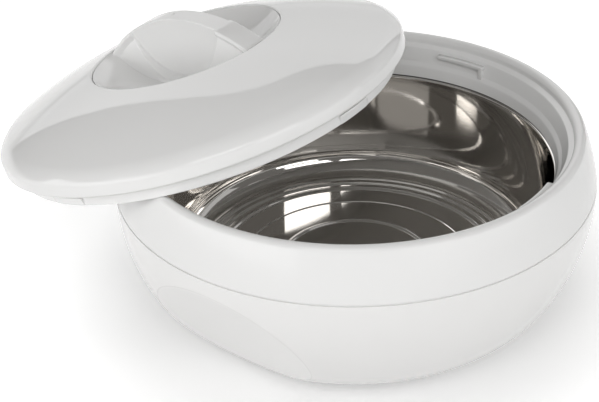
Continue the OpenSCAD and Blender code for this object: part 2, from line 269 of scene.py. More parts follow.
def turned(outline, a, closed):
    """Body of revolution: outline points (r, z) at the angles a, as (r cos a, r sin a, z).
    An open outline starts and ends on the axis, where each end is one pole point."""
    n = len(a)
    body = outline if closed else outline[1:-1]
    m = len(body)
    r = body[:, 0:1]
    z = np.repeat(body[:, 1:2], n, 1)
    v = np.stack([r * np.cos(a), r * np.sin(a), z], 2).reshape(-1, 3)
    row = np.arange(m if closed else m - 1)[:, None]
    col = np.arange(n)[None, :]
    up = (row + 1) % m
    right = (col + 1) % n
    faces = [row * n + col, row * n + right, up * n + right, up * n + col]
    quads = np.stack(faces, 2).reshape(-1, 4)
    tris = np.zeros((0, 3), int)
    if not closed:
        v = np.concatenate([v, [[0, 0, outline[0, 1]], [0, 0, outline[-1, 1]]]])
        k = np.arange(n)
        k_next = (k + 1) % n
        last_row = (m - 1) * n
        first = np.stack([np.full(n, m * n), k_next, k], 1)
        last = np.stack([np.full(n, m * n + 1), last_row + k, last_row + k_next], 1)
        tris = np.concatenate([first, last])
    return v, quads, tris


def swept_block(section, a0, a1, n):
    """Block round the axis: a closed section (r, z) at n angles from a0 to a1 degrees, drawn in
    a little towards its own middle over the last steps at each end, and capped there."""
    a = np.radians(np.linspace(a0, a1, n))
    step = np.arange(n)
    end = np.clip(np.minimum(step, step[::-1]) / END_STEPS, 0, 1)
    shrink = END_SIZE + (1 - END_SIZE) * np.sqrt(1 - (1 - end) ** 2)
    mid = section.mean(0)
    s = mid + (section[None] - mid) * shrink[:, None, None]
    r = s[..., 0]
    v = np.stack([r * np.cos(a)[:, None], r * np.sin(a)[:, None], s[..., 1]], 2)
    m = len(section)
    v = np.concatenate([v.reshape(-1, 3), v[[0, -1]].mean(1)])
    row = np.arange(n - 1)[:, None]
    col = np.arange(m)[None, :]
    right = (col + 1) % m
    faces = [row * m + col, (row + 1) * m + col, (row + 1) * m + right, row * m + right]
    quads = np.stack(faces, 2).reshape(-1, 4)
    k = np.arange(m)
    k_next = (k + 1) % m
    last_row = (n - 1) * m
    first = np.stack([np.full(m, n * m), k, k_next], 1)
    last = np.stack([np.full(m, n * m + 1), last_row + k_next, last_row + k], 1)
    return v, quads, np.concatenate([first, last])


def joined(parts):
    """Several (points, quads, triangles) surfaces as one; the later faces' numbers move up."""
    base = np.cumsum([0] + [len(p[0]) for p in parts[:-1]])
    points = np.concatenate([p[0] for p in parts])
    quads = np.concatenate([p[1] + b for p, b in zip(parts, base)])
    tris = np.concatenate([p[2] + b for p, b in zip(parts, base)])
    return points, quads, tris


def smooth_step(x, centre, width):
    """0 to 1 over width about centre, with level ends: t * t * (3 - 2 t)."""
    t = np.clip((x - centre) / width + 0.5, 0, 1)
    return t * t * (3 - 2 * t)


def facing_out(mesh):
    """Turns all faces of a closed mesh outwards."""
    bm = bmesh.new()
    bm.from_mesh(mesh)
    bmesh.ops.recalc_face_normals(bm, faces=bm.faces)
    bm.to_mesh(mesh)
    bm.free()


def piece(name, surface, body, node, material):
    """Mesh object from a surface in millimetres; it rides on body and stands for the CAD node."""
    v, quads, tris = surface
    mesh = bpy.data.meshes.new(name)
    mesh.from_pydata((v * MM).tolist(), [], quads.tolist() + tris.tolist())
    facing_out(mesh)
    mesh.shade_smooth()
    mesh.update()
    mesh.materials.append(material)
    obj = bpy.data.objects.new(name, mesh)
    bpy.context.scene.collection.objects.link(obj)
    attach(obj, body)
    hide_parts(node)


# Finishes


def new_group(name, inputs, outputs):
    """Empty shader node group with float inputs (name, default) and float outputs."""
    g = bpy.data.node_groups.new(name, "ShaderNodeTree")
    for n, value in inputs:
        s = g.interface.new_socket(n, in_out="INPUT", socket_type="NodeSocketFloat")
        s.default_value = value
    for n in outputs:
        g.interface.new_socket(n, in_out="OUTPUT", socket_type="NodeSocketFloat")
    return g, g.nodes.new("NodeGroupInput"), g.nodes.new("NodeGroupOutput")


def math_node(tree, op, a, b=None):
    """Math node with sockets or numbers as inputs; returns its output."""
    n = tree.nodes.new("ShaderNodeMath")
    n.operation = op
    for i, x in enumerate((a, b)):
        if x is None:
            continue
        if isinstance(x, (int, float)):
            n.inputs[i].default_value = x
        else:
            tree.links.new(x, n.inputs[i])
    return n.outputs[0]


def noise_node(tree, vector, scale, detail):
    """Noise texture on the given coordinates; returns its value."""
    n = tree.nodes.new("ShaderNodeTexNoise")
    n.inputs["Scale"].default_value = scale
    n.inputs["Detail"].default_value = detail
    tree.links.new(vector, n.inputs["Vector"])
    return n.outputs["Fac"]


def between(tree, low, high, t):
    """low plus t times (high - low)."""
    span = math_node(tree, "SUBTRACT", high, low)
    return math_node(tree, "ADD", low, math_node(tree, "MULTIPLY", span, t))


OUTPUTS = ("Tint", "Roughness", "Height")
# Grain's share of a moulded skin; height's share in the run of the steel's rings; the rings' tint,
# lowest and span
GRAIN_SHARE = 0.15
RING_RISE = 0.9
RING_TINT = 0.94
RING_TINT_SPAN = 0.12
PLASTIC_IOR = 1.5


def moulded_group():
    """Moulded plastic: faint clouding of the colour, uneven gloss, and a mould's skin of low waves
    with a fine grain on them."""
    inputs = [("Clouding", 0.02), ("Gloss Low", 0.2), ("Gloss High", 0.3), ("Waves", 0.3)]
    g, gin, gout = new_group("moulded_skin", inputs, OUTPUTS)
    coords = g.nodes.new("ShaderNodeTexCoord").outputs["Object"]
    cloud = noise_node(g, coords, scale=14.0, detail=3.0)
    grain = noise_node(g, coords, scale=420.0, detail=2.0)
    wave = noise_node(g, coords, scale=60.0, detail=1.0)
    tint = math_node(g, "MULTIPLY", math_node(g, "SUBTRACT", cloud, 0.5), gin.outputs["Clouding"])
    g.links.new(math_node(g, "ADD", tint, 1.0), gout.inputs["Tint"])
    rough = between(g, gin.outputs["Gloss Low"], gin.outputs["Gloss High"], cloud)
    g.links.new(rough, gout.inputs["Roughness"])
    skin = math_node(g, "ADD", math_node(g, "MULTIPLY", grain, GRAIN_SHARE), wave)
    g.links.new(math_node(g, "MULTIPLY", skin, gin.outputs["Waves"]), gout.inputs["Height"])
    return g


def spun_group():
    """Spun and polished steel: fine rings about the z axis, worked out from the distance to that
    axis and the height, and faint wiping marks that change the gloss."""
    inputs = [("Ring Scale", 900.0), ("Ring Depth", 0.2), ("Gloss Low", 0.05), ("Gloss High", 0.14)]
    g, gin, gout = new_group("spun_polish", inputs, OUTPUTS)
    coords = g.nodes.new("ShaderNodeTexCoord").outputs["Object"]
    sep = g.nodes.new("ShaderNodeSeparateXYZ")
    g.links.new(coords, sep.inputs[0])
    x_sq = math_node(g, "MULTIPLY", sep.outputs["X"], sep.outputs["X"])
    y_sq = math_node(g, "MULTIPLY", sep.outputs["Y"], sep.outputs["Y"])
    radius = math_node(g, "SQRT", math_node(g, "ADD", x_sq, y_sq))
    along = math_node(g, "ADD", radius, math_node(g, "MULTIPLY", sep.outputs["Z"], RING_RISE))
    ring = g.nodes.new("ShaderNodeTexNoise")
    ring.noise_dimensions = "1D"
    ring.inputs["Scale"].default_value = 1.0
    ring.inputs["Detail"].default_value = 3.0
    g.links.new(math_node(g, "MULTIPLY", along, gin.outputs["Ring Scale"]), ring.inputs["W"])
    wipe = noise_node(g, coords, scale=22.0, detail=4.0)
    tint = math_node(g, "MULTIPLY", ring.outputs["Fac"], RING_TINT_SPAN)
    g.links.new(math_node(g, "ADD", tint, RING_TINT), gout.inputs["Tint"])
    rough = between(g, gin.outputs["Gloss Low"], gin.outputs["Gloss High"], wipe)
    g.links.new(rough, gout.inputs["Roughness"])
    height = math_node(g, "MULTIPLY", ring.outputs["Fac"], gin.outputs["Ring Depth"])
    g.links.new(height, gout.inputs["Height"])
    return g


def facet_shade_group():
    """Painted shade: a fine dark line along the edge of each finger facet, in place of the shadow a
    small step would cast there. The distance to the facet's plane, worked out from the place on the
    object, picks a thin strip just outside the plane."""
    inputs = [("Middle", -0.00017), ("Half Width", 0.00011)]
    g, gin, gout = new_group("facet_painted_shade", inputs, ("Mask",))
    coords = g.nodes.new("ShaderNodeTexCoord").outputs["Object"]
    strips = []
    for side in (0, 180):
        dot = g.nodes.new("ShaderNodeVectorMath")
        dot.operation = "DOT_PRODUCT"
        g.links.new(coords, dot.inputs[0])
        dot.inputs[1].default_value = facet_normal(side)
        away = math_node(g, "SUBTRACT", dot.outputs["Value"], FACET_OFF * MM)
        off = math_node(g, "ABSOLUTE", math_node(g, "SUBTRACT", away, gin.outputs["Middle"]))
        share = math_node(g, "DIVIDE", off, gin.outputs["Half Width"])
        strips.append(math_node(g, "MAXIMUM", math_node(g, "SUBTRACT", 1.0, share), 0.0))
    g.links.new(math_node(g, "MAXIMUM", strips[0], strips[1]), gout.inputs["Mask"])
    return g


MOULDED = moulded_group()
SPUN = spun_group()
FACET_SHADE_LINE = facet_shade_group()


def finish_of(name, group, values, colour, bump, metallic=0.0, marks=None, darker=0.0):
    """Material from a finish group: colour times its tint, its roughness, its height as a bump in
    metres. The values are the group's inputs in their order; the mask of a marks group darkens
    the tint as painted shade."""
    m = bpy.data.materials.new(name)
    m.use_nodes = True
    t = m.node_tree
    bsdf = t.nodes["Principled BSDF"]
    g = t.nodes.new("ShaderNodeGroup")
    g.node_tree = group
    for socket, x in zip(g.inputs, values):
        socket.default_value = x
    mix = t.nodes.new("ShaderNodeVectorMath")
    mix.operation = "SCALE"
    mix.inputs[0].default_value = colour
    tint = g.outputs["Tint"]
    # Painted shade: the marks group's mask darkens the colour where a shadow line would fall.
    if marks is not None:
        shade_node = t.nodes.new("ShaderNodeGroup")
        shade_node.node_tree = marks
        shade = math_node(t, "MULTIPLY", shade_node.outputs["Mask"], darker)
        tint = math_node(t, "SUBTRACT", tint, shade)
    t.links.new(tint, mix.inputs["Scale"])
    t.links.new(mix.outputs[0], bsdf.inputs["Base Color"])
    t.links.new(g.outputs["Roughness"], bsdf.inputs["Roughness"])
    b = t.nodes.new("ShaderNodeBump")
    b.inputs["Strength"].default_value = 1.0
    b.inputs["Distance"].default_value = bump
    t.links.new(g.outputs["Height"], b.inputs["Height"])
    t.links.new(b.outputs["Normal"], bsdf.inputs["Normal"])
    bsdf.inputs["Metallic"].default_value = metallic
    bsdf.inputs["IOR"].default_value = PLASTIC_IOR
    return m


def moulded(name, colour, clouding, gloss, waves, bump, **more):
    """Material of moulded plastic, rubber or foam; gloss is its lowest and highest roughness."""
    return finish_of(name, MOULDED, (clouding, *gloss, waves), colour, bump, **more)


WHITE = (0.80, 0.80, 0.795)
# The shell gets a painted shade line along its facet edges, darker by 0.12.
WHITE_SHELL = moulded("white_shell_gloss", (0.81, 0.807, 0.80), clouding=0.02, gloss=(0.12, 0.2),
                      waves=0.2, bump=0.00005, marks=FACET_SHADE_LINE, darker=0.12)
WHITE_COLLAR = moulded("white_collar_gloss", WHITE, clouding=0.015, gloss=(0.12, 0.2), waves=0.2,
                       bump=0.00005)
WHITE_LID = moulded("white_lid_gloss", WHITE, clouding=0.015, gloss=(0.035, 0.065), waves=0.1,
                    bump=0.00003)
WHITE_GRIP = moulded("white_grip_gloss", WHITE, clouding=0.015, gloss=(0.05, 0.09), waves=0.12,
                     bump=0.00003)
# The liner's white is lighter than the other whites: painted light that lifts the skirt and the
# lid's underside, which sit in shade under the dome's rim.
WHITE_LINER_LIGHTENED = moulded("white_liner_satin_lightened", (0.86, 0.86, 0.855), clouding=0.03, gloss=(0.2, 0.3),
                      waves=0.3, bump=0.00005)
RING_SCALE = 1400.0
RING_DEPTH = 0.3
STEEL_GLOSS = (0.03, 0.08)
STEEL = finish_of("polished_steel", SPUN, (RING_SCALE, RING_DEPTH, *STEEL_GLOSS),
                  (0.72, 0.7, 0.673), bump=0.00001, metallic=1.0)
DARK_SEAL = moulded("dark_seal_rubber", (0.09, 0.088, 0.085), clouding=0.3, gloss=(0.55, 0.75),
                    waves=0.5, bump=0.0001)
PALE_SEAL = moulded("pale_seal_silicone", (0.72, 0.72, 0.70), clouding=0.08, gloss=(0.4, 0.55),
                    waves=0.4, bump=0.0001)
FOAM = moulded("insulating_foam", (0.78, 0.68, 0.42), clouding=0.4, gloss=(0.8, 0.95), waves=1.0,
               bump=0.0008)
PLUG = moulded("plug_matte", (0.72, 0.72, 0.71), clouding=0.05, gloss=(0.45, 0.6), waves=0.4,
               bump=0.0001)

# Bowl


def shell_outline(d, top, n):
    """Shell's outside in section, drawn d inside it: corner arc, then side arc up to the height
    top, with n points on each."""
    low = arc(CORNER_C, CORNER_R - d, -QUARTER, CORNER_TURN, n)
    end = math.asin((top - SIDE_C[1]) / (SIDE_R - d))
    high = arc(SIDE_C, SIDE_R - d, CORNER_TURN, end, n)
    return np.concatenate([low, high[1:]])


def facet_pressed(v, off):
    """Points beyond a facet's plane are pressed straight back to it; the softened step
    ease * log(1 + exp(x / ease)) rounds the facet's edge, and is x itself far beyond the plane."""
    far = 30
    for side in (0, 180):
        n = facet_normal(side)
        x = (v @ n - off) / FACET_EASE
        over = FACET_EASE * np.where(x > far, x, np.log1p(np.exp(np.minimum(x, far))))
        v = v - over[:, None] * n
    return v


def facet_angles():
    """Angles round the axis, close together across the two facets and wider between them."""
    fine = np.linspace(-FACET_HALF, FACET_HALF, 214, endpoint=False)
    wide = np.linspace(FACET_HALF, 180 - FACET_HALF, 40, endpoint=False)
    half = np.concatenate([fine, wide])
    return np.radians(FACET_AZ + np.concatenate([half, half + 180]))


def shell_surface():
    """Outer shell: closed outline turned about the axis, base to top edge and back down the inside,
    with the two finger facets pressed flat. The base's rings shift along y the nearer they are to
    the middle, so that the innermost is the plug's hole."""
    top = JOINT_H - GROOVE / 2
    outside = shell_outline(0, top - EDGE_EASE, 54)
    inside = shell_outline(WALL, top - EDGE_EASE_IN, 22)[::-1]
    base = line((HOLE_R, 0), (CORNER_C[0], 0), 10)[:-1]
    back = line((CORNER_C[0], WALL), (HOLE_R, WALL), 8)[1:]
    edge = eased([(*outside[-1], 0), (BOWL_R - EDGE_IN, top, EDGE_EASE),
                  (BOWL_R - WALL + EDGE_IN, top, EDGE_EASE_IN), (*inside[0], 0)])
    outline = np.concatenate([base, outside[:-1], edge, inside[1:], back])
    a = facet_angles()
    v, quads, tris = turned(outline, a, True)
    n_out = (len(base) + len(outside) + EASE_POINTS) * len(a)
    v[:n_out] = facet_pressed(v[:n_out], FACET_OFF)
    v[n_out:] = facet_pressed(v[n_out:], FACET_OFF - WALL)
    inwards = (CORNER_C[0] - np.hypot(v[:, 0], v[:, 1])) / (CORNER_C[0] - HOLE_R)
    v[:, 1] += HOLE_Y * np.clip(inwards, 0, 1)
    return v, quads, tris


def centre_between(p, a, q, b):
    """Centre at distance a from p and b from q, on the axis side."""
    d = np.linalg.norm(q - p)
    x = (d * d + a * a - b * b) / (2 * d)
    u = (q - p) / d
    return p + x * u + math.sqrt(a * a - x * x) * np.array([-u[1], u[0]])


def rib_root(z):
    """Radius in the middle of the collar's inside wall at height z."""
    slope = (LEDGE[0] - SHELF_OUT[0]) / (LEDGE[1] - SHELF_OUT[1])
    return SHELF_OUT[0] + (z - SHELF_OUT[1]) * slope + WALL / 2


def collar_surface():
    """Collar: closed outline turned about the axis (outside arc, lip arcs, seat, ledge, wall,
    shelf, throat, hollow, tongue), and bayonet ribs with their stops swept round the inside."""
    lip_c = np.array([SEAT_R + LIP_IN, RIM_H - LIP_ROUND])
    joint = np.array([BOWL_R, JOINT_H])
    col_c = centre_between(joint, COLLAR_R, lip_c, COLLAR_R - LIP_ROUND)
    lip_turn = math.atan2(lip_c[1] - col_c[1], lip_c[0] - col_c[0])
    foot_z = JOINT_H + GROOVE / 2
    foot_turn = math.asin((foot_z + FOOT_EASE - col_c[1]) / COLLAR_R)
    outside = arc(col_c, COLLAR_R, foot_turn, lip_turn, 36)
    lip = arc(lip_c, LIP_ROUND, lip_turn, QUARTER, 20)[1:]
    lip_inside = arc((lip_c[0], RIM_H - LIP_IN), LIP_IN, QUARTER, math.pi, 20)[1:]
    hollow_r = LIP_ROUND - WALL
    hollow_turn = math.acos((SEAT_R + WALL - lip_c[0]) / hollow_r)
    hollow = arc(lip_c, hollow_r, hollow_turn, lip_turn, 6)
    shoulder_z = foot_z + SHOULDER_H
    in_turn = math.asin((shoulder_z - col_c[1]) / (COLLAR_R - WALL))
    wall_in = arc(col_c, COLLAR_R - WALL, lip_turn, in_turn, 16)[1:]
    inner = eased([(*lip_inside[-1], 0), (SEAT_R, SEAT_Z, 0.5), (*LEDGE, 0.6), (*SHELF_OUT, 0.5),
                   (*SHELF_IN, 0.8), (*THROAT, 0.35), (THROAT[0] + WALL, THROAT[1], 0.3),
                   (SHELF_IN[0] + WALL, SHELF_IN[1] - BACK_DOWN, 0),
                   (SHELF_OUT[0] + WALL, SHELF_OUT[1] - BACK_DOWN, 0),
                   (*LEDGE_BACK, 0), (hollow[0, 0], SEAT_Z - SEAT_T, 0), (*hollow[0], 0)])[1:-1]
    tongue = BOWL_R - WALL - TONGUE_GAP
    tongue_in = tongue - TONGUE_T
    tongue_z = JOINT_H - TONGUE_H
    step_r = BOWL_R - GROOVE_IN
    step_z = JOINT_H - GROOVE / 2 + GROOVE_LIFT
    low = eased([(*wall_in[-1], 0), (tongue_in, shoulder_z, 0.3),
                 (tongue_in - TONGUE_DRAFT, tongue_z, 0.4), (tongue - TONGUE_DRAFT, tongue_z, 0.4),
                 (tongue, step_z, 0.1), (step_r, step_z, 0.05), (step_r, foot_z, 0.2),
                 (outside[0, 0], foot_z, FOOT_EASE), (*outside[0], 0)])[1:-1]
    outline = np.concatenate([outside, lip, lip_inside, inner, hollow, wall_in, low])
    ring = turned(outline, all_round(BOWL_COLUMNS), True)
    tip = SKIRT_R + RIB_GAP
    rib = eased([(tip, RIB_Z, 0.5), (rib_root(RIB_Z), RIB_Z, 0), (rib_root(RIB_TOP), RIB_TOP, 0),
                 (tip, RIB_TOP, 0.5)])
    stop_z = SHELF_IN[1] + STOP_UP
    stop_top = RIB_TOP - STOP_DOWN
    stop = eased([(tip, stop_z, 0.2), (SHELF_IN[0] + WALL / 2, stop_z, 0),
                  (rib_root(SHELF_OUT[1]), SHELF_OUT[1], 0), (rib_root(stop_top), stop_top, 0),
                  (tip, stop_top, 0.4)])
    starts = [RIB_AZ + 360 / RIBS * k for k in range(RIBS)]
    ribs = [swept_block(rib, s, s + RIB_SPAN, 40) for s in starts]
    stops = [swept_block(stop, s, s + STOP_SPAN, 8) for s in starts]
    return joined([ring] + ribs + stops)


def steel_floor(r):
    """Height of the steel floor: the middle level plus a smooth step up at each pressed ring,
    a round bead beside each step, a slight dome of the middle and a small round ring."""
    z = np.full_like(r, STEEL_FLOOR - len(STEP_RADII) * STEP - FINE_STEP)
    z = z + FINE_STEP * smooth_step(r, FINE_R, FINE_W)
    for at in STEP_RADII:
        z = z + STEP * smooth_step(r, at, STEP_W)
    for at in BEAD_RADII:
        z = z + BEAD * np.cos(np.clip((r - at) / BEAD_W, -0.5, 0.5) * math.pi) ** 2
    z = z + FLOOR_UP * np.clip(1 - (r / FINE_R) ** 2, 0, 1)
    return z + RING_UP * np.clip(1 - ((r - RING_R) / RING_HALF) ** 2, 0, 1) ** 2


def steel_surface():
    """Pressed steel bowl: stepped floor, fillet, tapering wall and rolled-out edge turned about the
    axis, with the sheet's outside drawn its thickness away. The floor's spans (from, to, points)
    are close where it is pressed."""
    foot_r = STEEL_R - STEEL_TAPER
    c = np.array([foot_r - STEEL_FILLET, STEEL_FLOOR + STEEL_FILLET])
    spans = [(0, RING_R - 4, 14), (RING_R - 2.2, RING_R + 2.2, 20), (RING_R + 4, FINE_R - 2, 10),
             (FINE_R - 0.9, FINE_R + 0.9, 8), (FINE_R + 2, BEAD_RADII[0] - BEAD_W, 5),
             (BEAD_RADII[0] - BEAD_W / 2 - 0.2, c[0], 76)]
    r = np.concatenate([np.linspace(*s) for s in spans])
    floor = np.stack([r, steel_floor(r)], 1)
    bend = arc(c, STEEL_FILLET, -QUARTER, 0, 30)[1:]
    roll_c = (STEEL_R + ROLL_R, STEEL_EDGE_Z - ROLL_R)
    wall = line((foot_r, c[1]), (STEEL_R, roll_c[1]), 16)[1:]
    roll = arc(roll_c, ROLL_R, math.pi, QUARTER, 8)[1:]
    lip = np.array([[FLANGE_R - FLANGE_EASE, STEEL_EDGE_Z], [FLANGE_R, STEEL_EDGE_Z - FLANGE_EASE],
                    [FLANGE_R, STEEL_EDGE_Z - STEEL_T + FLANGE_EASE],
                    [FLANGE_R - FLANGE_EASE, STEEL_EDGE_Z - STEEL_T]])
    roll_out = arc(roll_c, ROLL_R - STEEL_T, QUARTER, math.pi, 6)
    wall_out = line((STEEL_R + STEEL_T, STEEL_EDGE_Z - ROLL_END), (foot_r + STEEL_T, c[1]), 8)
    bend_out = arc(c, STEEL_FILLET + STEEL_T, 0, -QUARTER, 14)[1:]
    under = np.stack([r[::-3], steel_floor(r[::-3]) - STEEL_T], 1)[1:]
    under[-1, 0] = 0
    outline = np.concatenate([floor, bend, wall, roll, lip, roll_out, wall_out, bend_out, under])
    return turned(outline[::-1], all_round(BOWL_COLUMNS), False)


# Lid


def dome_surface():
    """Dome: closed outline turned about the lid's axis: rim face, rolled edge of a small and a
    large arc that meet at RIM_MEET, dome arc, rounded edge of the dish's hole, inside."""
    dome_c = np.array([0, DOME_TOP - DOME_R])
    offset = (RIM_SOFT - RIM_ROUND) * np.array([math.cos(RIM_MEET), math.sin(RIM_MEET)])
    soft_x = LID_R - RIM_ROUND - offset[0]
    soft_c = np.array([soft_x, dome_c[1] + math.sqrt((DOME_R - RIM_SOFT) ** 2 - soft_x ** 2)])
    rim_c = soft_c + offset
    rim_turn = math.atan2(soft_c[1] - dome_c[1], soft_c[0])
    hole_x = DISH_RIM_R + WALL / 2
    hole_c = np.array([hole_x, dome_c[1] + math.sqrt((DOME_R - WALL / 2) ** 2 - hole_x ** 2)])
    hole_turn = math.atan2(hole_c[1] - dome_c[1], hole_c[0])
    mid = rim_c[1] / 2
    edge = eased([(LID_R - WALL, mid, 0), (LID_R - WALL, 0, 0.5), (LID_R, 0, 0.7), (LID_R, mid, 0)])
    small = arc(rim_c, RIM_ROUND, 0, RIM_MEET, 12)
    rolled = np.concatenate([small, arc(soft_c, RIM_SOFT, RIM_MEET, rim_turn, 16)[1:]])
    dome = arc(dome_c, DOME_R, rim_turn, hole_turn, 60)[1:]
    hole = arc(hole_c, WALL / 2, hole_turn, hole_turn + math.pi, 14)[1:]
    inside = arc(dome_c, DOME_R - WALL, hole_turn, rim_turn, 24)[1:]
    soft_in = arc(soft_c, RIM_SOFT - WALL, rim_turn, RIM_MEET, 6)[1:]
    rolled_in = np.concatenate([soft_in, arc(rim_c, RIM_ROUND - WALL, RIM_MEET, 0, 6)[1:]])
    outline = np.concatenate([edge, rolled, dome, hole, inside, rolled_in])
    v, quads, tris = turned(outline, all_round(LID_COLUMNS), True)
    return on_lid(v), quads, tris


DISH_OUT = DISH_RIM_R - DISH_GAP
DISH_RIM_Z = DOME_TOP - DOME_R + math.sqrt(DOME_R ** 2 - DISH_RIM_R ** 2) - DISH_DOWN
DISH_RISE = DISH_RIM_Z - DISH_Z
DISH_R = (DISH_OUT ** 2 + DISH_RISE ** 2) / (2 * DISH_RISE)


def dish_height(r):
    """Height of the dish: a sphere through its bottom and its rim."""
    return DISH_Z + DISH_R - np.sqrt(DISH_R ** 2 - np.minimum(r, DISH_OUT) ** 2)


def bar_half(s, z, depth):
    """Half width of the bar at s along it and height z, depth below the crest's arch. Outside the
    scoop's circle: straight cap, drawn in under it, then widening to the foot. Inside the circle:
    a hollow that falls from the crest's edge to the thin web along a parabola."""
    under_cap = BAR_HALF - CAP_IN * np.clip((depth - BAR_CAP) / CAP_FALL, 0, 1)
    low = np.clip((depth - BAR_CAP - CAP_FALL) / (BAR_FOOT - BAR_CAP - CAP_FALL), 0, 1)
    side = under_cap + (CAP_IN + BAR_DRAFT) * low
    fall = np.clip(1 - depth / SCOOP_FALL, 0, 1)
    web = WEB_HALF + (CREST_HALF - WEB_HALF) * fall ** 2
    inside = 1 - smooth_step(np.hypot(s, z - (BAR_TOP - SCOOP_DOWN)), SCOOP_R, SCOOP_EASE)
    half = side + (web - side) * inside
    return half - BAR_ROUND * (1 - np.clip(depth / BAR_ROUND, 0, 1)) ** 2


def bar_surface():
    """Grip bar: angles along the arch times a path that climbs one side, crosses the crest and goes
    down the other, at the half width of bar_half, with a small fillet where it meets the dish. The
    foot's radius at each angle, just under the dish's face, is found by repeated substitution, and
    the points up a side crowd towards the crest."""
    n_s = 360
    n_side = 70
    n_top = 31
    first_guess = 80.0
    rounds = 40
    crowding = 1.5
    end = math.asin((DISH_OUT - BAR_SHORT) / BAR_ARCH)
    th = np.linspace(-end, end, n_s)[:, None]
    base = BAR_TOP - BAR_ARCH
    foot = np.full((n_s, 1), first_guess)
    for _ in range(rounds):
        dish = dish_height(np.hypot(foot * np.sin(th), BAR_FOOT_HALF))
        foot = (dish - BAR_SINK - base) / np.cos(th)
    foot = np.minimum(foot, BAR_ARCH - BAR_LEAST)
    u = np.linspace(0, 1, n_side)[None, :]
    rho = foot + (BAR_ARCH - foot) * (1 - (1 - u) ** crowding)
    s = rho * np.sin(th)
    z = base + rho * np.cos(th)
    half = bar_half(s, z, BAR_ARCH - rho)
    above = z - dish_height(np.hypot(s, half))
    half = half + FILLET * np.exp(-np.maximum(above, 0) / FILLET_FALL)
    k = np.linspace(-1, 1, n_top + 2)[1:-1][None, :]
    crown = BAR_CROWN * (1 - k ** 2)
    top_y = half[:, -1:] * k
    top_s = (BAR_ARCH + crown) * np.sin(th)
    top_z = base + (BAR_ARCH + crown) * np.cos(th)
    away = ((top_s - DIMPLE[0]) ** 2 + (top_y - DIMPLE[1]) ** 2) / DIMPLE_R ** 2
    dent = DIMPLE_DEEP * np.sqrt(np.clip(1 - away, 0, 1))
    front = np.stack([s, -half, z], 2)
    crest = np.stack([top_s, top_y, top_z - dent], 2)
    rear = np.stack([s, half, z], 2)[:, ::-1]
    grid = np.concatenate([front, crest, rear], 1)
    n_v = grid.shape[1]
    i = np.arange(n_s - 1)[:, None] * n_v
    j = np.arange(n_v - 1)[None, :]
    quads = np.stack([i + j, i + n_v + j, i + n_v + j + 1, i + j + 1], 2).reshape(-1, 4)
    mid = (n_v - 1) // 2
    h = np.arange(mid - 1)
    cap = np.stack([h, h + 1, n_v - 2 - h, n_v - 1 - h], 1)
    tip = np.array([[mid - 1, mid, mid + 1]])
    last = (n_s - 1) * n_v
    far = last + cap[:, ::-1]
    tips = np.concatenate([tip, last + tip[:, ::-1]])
    row = np.arange(n_s - 1) * n_v
    under = np.stack([row, row + n_v - 1, row + 2 * n_v - 1, row + n_v], 1)
    return grid.reshape(-1, 3), np.concatenate([quads, cap, far, under]), tips


def dish_surface():
    """Dish: open outline turned about the lid's axis: sphere top face, rounded rim, flange that
    just clears the dome's inside, underside."""
    flange_r = DISH_RIM_R + DISH_FLANGE
    clear_r = DOME_R - WALL - DISH_CLEAR
    flange_z = DOME_TOP - DOME_R + math.sqrt(clear_r ** 2 - flange_r ** 2)
    flange_low = flange_z - DISH_FLANGE_T
    top_r = np.linspace(0, DISH_OUT - 0.8, 56)
    top = np.stack([top_r, dish_height(top_r)], 1)
    rim = eased([(*top[-1], 0), (DISH_OUT, DISH_RIM_Z, 0.5), (DISH_OUT, flange_z, 0.2),
                 (flange_r, flange_z, 0.3), (flange_r, flange_low, 0.3),
                 (DISH_OUT - 2, flange_low, 0)])[1:-1]
    low_r = np.linspace(DISH_OUT - 3.4, 0, 18)
    low_z = DISH_Z + DISH_R - np.sqrt((DISH_R + DISH_T) ** 2 - low_r ** 2)
    outline = np.concatenate([top, rim, np.stack([low_r, low_z], 1)])
    return turned(outline[::-1], all_round(DISH_COLUMNS), False)


def grip_surface():
    """Dish and bar as one surface, placed on the leaning lid."""
    v, quads, tris = joined([dish_surface(), bar_surface()])
    return on_lid(v), quads, tris


def liner_surface():
    """Liner: plate, skirt with a round lower edge and flange turned about the lid's axis, and
    swept lugs."""
    top = LINER_Z + LINER_T
    flange_r = LID_R - WALL - LINER_GAP
    low, high = LINER_FLANGE
    half = SKIRT_T / 2
    edge = arc((SKIRT_R - half, half - SKIRT_H), half, 0, -math.pi, 14)
    outer = eased([(0, top, 0), (SKIRT_R, top, 0.7), (SKIRT_R, high, 0.3), (flange_r, high, 0.4),
                   (flange_r, low, 0.4), (SKIRT_R, low, 0.3), (*edge[0], 0)])
    inner = eased([(*edge[-1], 0), (SKIRT_R - SKIRT_T, LINER_Z, SKIRT_EASE), (0, LINER_Z, 0)])
    plate = line((0, top), (PLATE_R, top), 12)[1:]
    under = line((PLATE_R - 1, LINER_Z), (0, LINER_Z), 12)[:-1]
    outline = np.concatenate([outer[:1], plate, outer[1:-1], edge, inner[1:-1], under, inner[-1:]])
    ring = turned(outline[::-1], all_round(LID_COLUMNS), False)
    lug_low, lug_top = LUG_Z
    lug = eased([(SKIRT_R - half, lug_low, 0), (SKIRT_R + LUG_FOOT, lug_low, LUG_FOOT),
                 (LUG_R, lug_top - LUG_FACE, 0.4), (LUG_R, lug_top, 0.3),
                 (SKIRT_R - half, lug_top, 0)])
    middles = [360 / LUGS * k for k in range(LUGS)]
    lugs = [swept_block(lug, m + LUG_SPAN[0], m + LUG_SPAN[1], 32) for m in middles]
    v, quads, tris = joined([ring] + lugs)
    return on_lid(v), quads, tris


